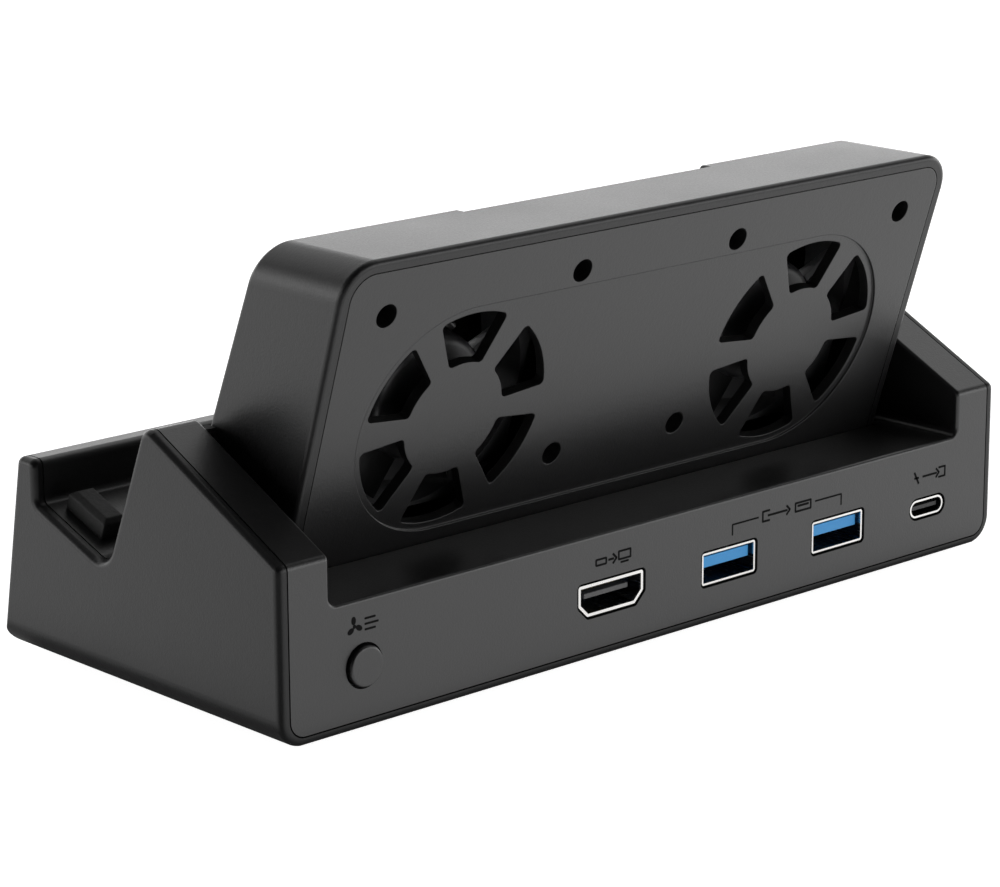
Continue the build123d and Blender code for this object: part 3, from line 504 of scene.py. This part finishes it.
shape = bmesh.new()
box_sign(shape, -24.0, 16.55, -1)
arrow(shape, -29.9, 16.55, 5.6, -1)
socket = rounded_bar(shape, -33.3, 16.55, 4.3, 1.9, 0.25)
hollow(shape, socket, frame_stroke)
rounded_bar(shape, -33.3, 16.75, 2.9, 0.42, 0.1)
for near, far, height in ((-15.4, -22.0, 16.65), (-43.3, -36.4, 16.75)):
    rounded_bar(shape, (near + far) / 2, height, abs(near - far), bracket_stroke, 0.05)
for x in (-15.5, -43.2):
    rounded_bar(shape, x, 15.70, bracket_stroke, 1.95, 0.05)
wall_mark("output_sign", shape)

shape = bmesh.new()
for x, height, turn in ((-63.15, 16.25, -28), (-63.75, 15.15, -28)):
    rounded_bar(shape, x, height, bolt_stroke, 1.35, 0.1, turn)
rounded_bar(shape, -63.45, 15.70, 1.25, arrow_stroke, 0.1)
arrow(shape, -69.6, 15.70, 4.5, -1)
box_sign(shape, -70.3, 15.70, 1)
wall_mark("input_sign", shape)


# Fan button: a cap with a rounded rim, of the same plastic and polish as the shell.
# Its flange holds it behind the rear wall, and it pushes on the switch's plunger.
finish(shell_black, "fan_button")


# Fans: two bought-in 40 mm axial fans, each a frame, a sleeve bearing, a wound stator and a rotor.
# Dark grey glass-filled polyester; the magnet ring and the stator's sheets are bare metal.
fan_tones = ((0.030, 0.030, 0.031), (0.048, 0.048, 0.050))
fan_grey = grained("Fan plastic", fan_tones, (0.30, 0.46), 1900, 0.00005)
rolled_steel = drawn_metal("Rolled steel", (0.50, 0.50, 0.51), 0.30, 0.46, 1800)
bronze = drawn_metal("Sintered bronze", (0.62, 0.42, 0.18), 0.38, 0.55, 2200)
for side in ("left", "right"):
    finish(fan_grey, f"fan_frame_{side}", f"fan_rotor_{side}")
    finish(rolled_steel, f"fan_stator_{side}", f"fan_magnet_{side}")
    finish(bronze, f"fan_bearing_{side}")


# Fan housing: the leaning backrest, moulded with the stepped top edge that clears the console.
# The four fan screws hold the fans against its front wall.
housing_black = satin_abs("Satin black housing", 0.42)
finish(housing_black, "fan_housing")
zinc = drawn_metal("Black zinc plate", (0.07, 0.07, 0.073), 0.28, 0.44, 2000)
finish(zinc, "fan_screws", "board_screws", "base_screws")


# Rear cover: the grille plate in the back of the housing, with six windows over each fan.
# Same satin black ABS, with painted shade on its windows' walls: below the face they turn darker and
# partly metallic, so they read as shaded; six screws hold it.
cover_black = satin_abs("Satin black cover", 0.65, edge=0.00025)
cover_lean = radians(17.75)
cover_inward = Vector((0, -cos(cover_lean), sin(cover_lean)))
cover_face = min(vertex.co.dot(cover_inward) for vertex in nodes["fan_rear_cover"].data.vertices)
unshaded_depth, window_shade_fade = 0.0006, 0.0006
window_shade_black, window_shade_metallic = (0.014, 0.014, 0.014), 0.35
window_shade_start = cover_face + unshaded_depth
cover_shade_mask = shaded_inwards(cover_black, cover_inward, window_shade_start, window_shade_fade, window_shade_black)
cover_tree = cover_black.node_tree
# Painted shade: partial metalness on the dark window walls darkens their reflections too.
shade_metallic = put(cover_tree, "Math", {0: cover_shade_mask, 1: window_shade_metallic}, operation="MULTIPLY")
cover_shader = cover_tree.nodes["Principled BSDF"]
cover_tree.links.new(shade_metallic.outputs[0], cover_shader.inputs["Metallic"])
finish(cover_black, "fan_rear_cover")
finish(zinc, "cover_screws")


# Studio: a bright table top, a white band of light round the horizon and two soft boxes.
# A black card stands under the camera, and painted shade darkens the table's glow round the dock's
# base and a little past its ends, for all but camera rays.
# The camera is at the photograph's place.
card_middle, card_half, card_clear = radians(43), radians(30), radians(58)
near_corner = (0.0845, 0.037, 0.0)
base_shade_margin, base_shade_fade = 0.003, 0.006
table_radius, table_glow = 6.0, 0.95


def smooth_range(tree, values):
    """Map range node with a smooth step between its ends."""
    node = put(tree, "MapRange", values)
    node.interpolation_type = "SMOOTHSTEP"
    return node


def dark_card(tree, place):
    """Zero in the sector taken up by the black card under the camera, one everywhere else."""
    sides = {0: place.outputs["Y"], 1: place.outputs["X"]}
    angle = put(tree, "Math", sides, operation="ARCTAN2")
    aside = put(tree, "Math", {0: angle.outputs[0], 1: card_middle}, operation="SUBTRACT")
    away = put(tree, "Math", {0: aside.outputs[0]}, operation="ABSOLUTE").outputs[0]
    clear = smooth_range(tree, {"Value": away, "From Min": card_half, "From Max": card_clear})
    return clear.outputs[0]


def clear_of_base_shade(tree, where):
    """Painted shade round the dock's base: zero under the dock, one past its ends and behind the rear
    face.
    """
    place = put(tree, "SeparateXYZ", {"Vector": where})
    along = put(tree, "Math", {0: place.outputs["X"]}, operation="ABSOLUTE").outputs[0]
    end, rear = near_corner[0] + base_shade_margin, near_corner[1]
    past_end = put(tree, "MapRange", {"Value": along, "From Min": end, "From Max": end + base_shade_fade})
    behind = {"Value": place.outputs["Y"], "From Min": rear, "From Max": rear + base_shade_fade}
    past_rear = put(tree, "MapRange", behind)
    sides = {0: past_end.outputs[0], 1: past_rear.outputs[0]}
    return put(tree, "Math", sides, operation="MAXIMUM").outputs[0]


def bright_table():
    """Large white table top with a faint mottle, lit from within so that it photographs white."""
    material, tree, shader, where = fresh_material("White table")
    mottle = put(tree, "TexNoise", {"Vector": where, "Scale": 30.0, "Detail": 3.0})
    tone = put(tree, "Mix", data_type="RGBA")
    tone.inputs[6].default_value = (0.66, 0.66, 0.66, 1)
    tone.inputs[7].default_value = (0.70, 0.70, 0.70, 1)
    tree.links.new(mottle.outputs[0], tone.inputs[0])
    tree.links.new(tone.outputs[2], shader.inputs["Base Color"])
    shader.inputs["Roughness"].default_value = 0.8
    shader.inputs["Specular IOR Level"].default_value = 0.1
    from_corner = put(tree, "VectorMath", {0: where, 1: near_corner}, operation="SUBTRACT")
    card = dark_card(tree, put(tree, "SeparateXYZ", {"Vector": from_corner.outputs["Vector"]}))
    # For reflected and bounced light the table's glow drops to near black in the card's sector, and
    # round the dock's base as painted shade.
    lit = put(tree, "Math", {0: card, 1: clear_of_base_shade(tree, where)}, operation="MULTIPLY")
    shade = put(tree, "Mix", data_type="RGBA")
    tree.links.new(lit.outputs[0], shade.inputs[0])
    shade.inputs[6].default_value = (0.02, 0.02, 0.02, 1)
    shade.inputs[7].default_value = (1, 1, 1, 1)
    seen = put(tree, "Mix", data_type="RGBA")
    tree.links.new(put(tree, "LightPath").outputs["Is Camera Ray"], seen.inputs[0])
    tree.links.new(shade.outputs[2], seen.inputs[6])
    seen.inputs[7].default_value = (1, 1, 1, 1)
    tree.links.new(seen.outputs[2], shader.inputs["Emission Color"])
    shader.inputs["Emission Strength"].default_value = table_glow
    return material


shape = bmesh.new()
bmesh.ops.create_circle(shape, cap_ends=True, segments=96, radius=table_radius)
table_top = in_scene("table_top", shape, bright_table())

world = bpy.data.worlds.new("Surround")
bpy.context.scene.world = world
world.use_nodes = True
tree = world.node_tree
glow = tree.nodes["Background"]
facing = put(tree, "TexCoord").outputs["Generated"]
parts = put(tree, "SeparateXYZ", {"Vector": facing})
band = smooth_range(tree, {"Value": parts.outputs["Z"], "From Min": 0.12, "From Max": 0.46})
horizon_glow, zenith_glow = 2.7, 0.12
band.inputs["To Min"].default_value = horizon_glow
band.inputs["To Max"].default_value = zenith_glow
light = put(tree, "Math", {0: band.outputs[0], 1: dark_card(tree, parts)}, operation="MULTIPLY")
soft_boxes = (
    ((-0.654, -0.223, 0.723), 0.97, 0.86, 0.9),
    ((-0.05, -0.78, 0.62), 0.96, 0.84, 0.8),
)
for toward, near, far, power in soft_boxes:
    lamp = put(tree, "VectorMath", {0: facing, 1: toward}, operation="DOT_PRODUCT").outputs["Value"]
    pool = smooth_range(tree, {"Value": lamp, "From Min": far, "From Max": near, "To Max": power})
    light = put(tree, "Math", {0: light.outputs[0], 1: pool.outputs[0]}, operation="ADD")
tree.links.new(light.outputs[0], glow.inputs["Strength"])
glow.inputs["Color"].default_value = (1, 1, 1, 1)

camera_data = bpy.data.cameras.new("camera")
camera_data.sensor_fit = "HORIZONTAL"
sensor_width, focal_share = 36.0, 3.501
camera_place = (0.40322, 0.43360, 0.18615)
camera_aim = Vector((-0.65374, -0.71113, -0.25869))
roll = radians(-0.265)
camera_data.sensor_width = sensor_width
camera_data.lens = sensor_width * focal_share
camera_data.clip_start = 0.01
camera_data.clip_end = 50.0
camera = bpy.data.objects.new("camera", camera_data)
bpy.context.scene.collection.objects.link(camera)
forward = camera_aim.normalized()
across = forward.cross(Vector((0, 0, 1))).normalized()
above = across.cross(forward)
right = across * cos(roll) + above * sin(roll)
up = right.cross(forward)
stand = Matrix((right, up, -forward)).transposed().to_4x4()
stand.translation = camera_place
camera.matrix_world = stand
bpy.context.scene.camera = camera

bpy.context.scene.view_settings.view_transform = "Standard"
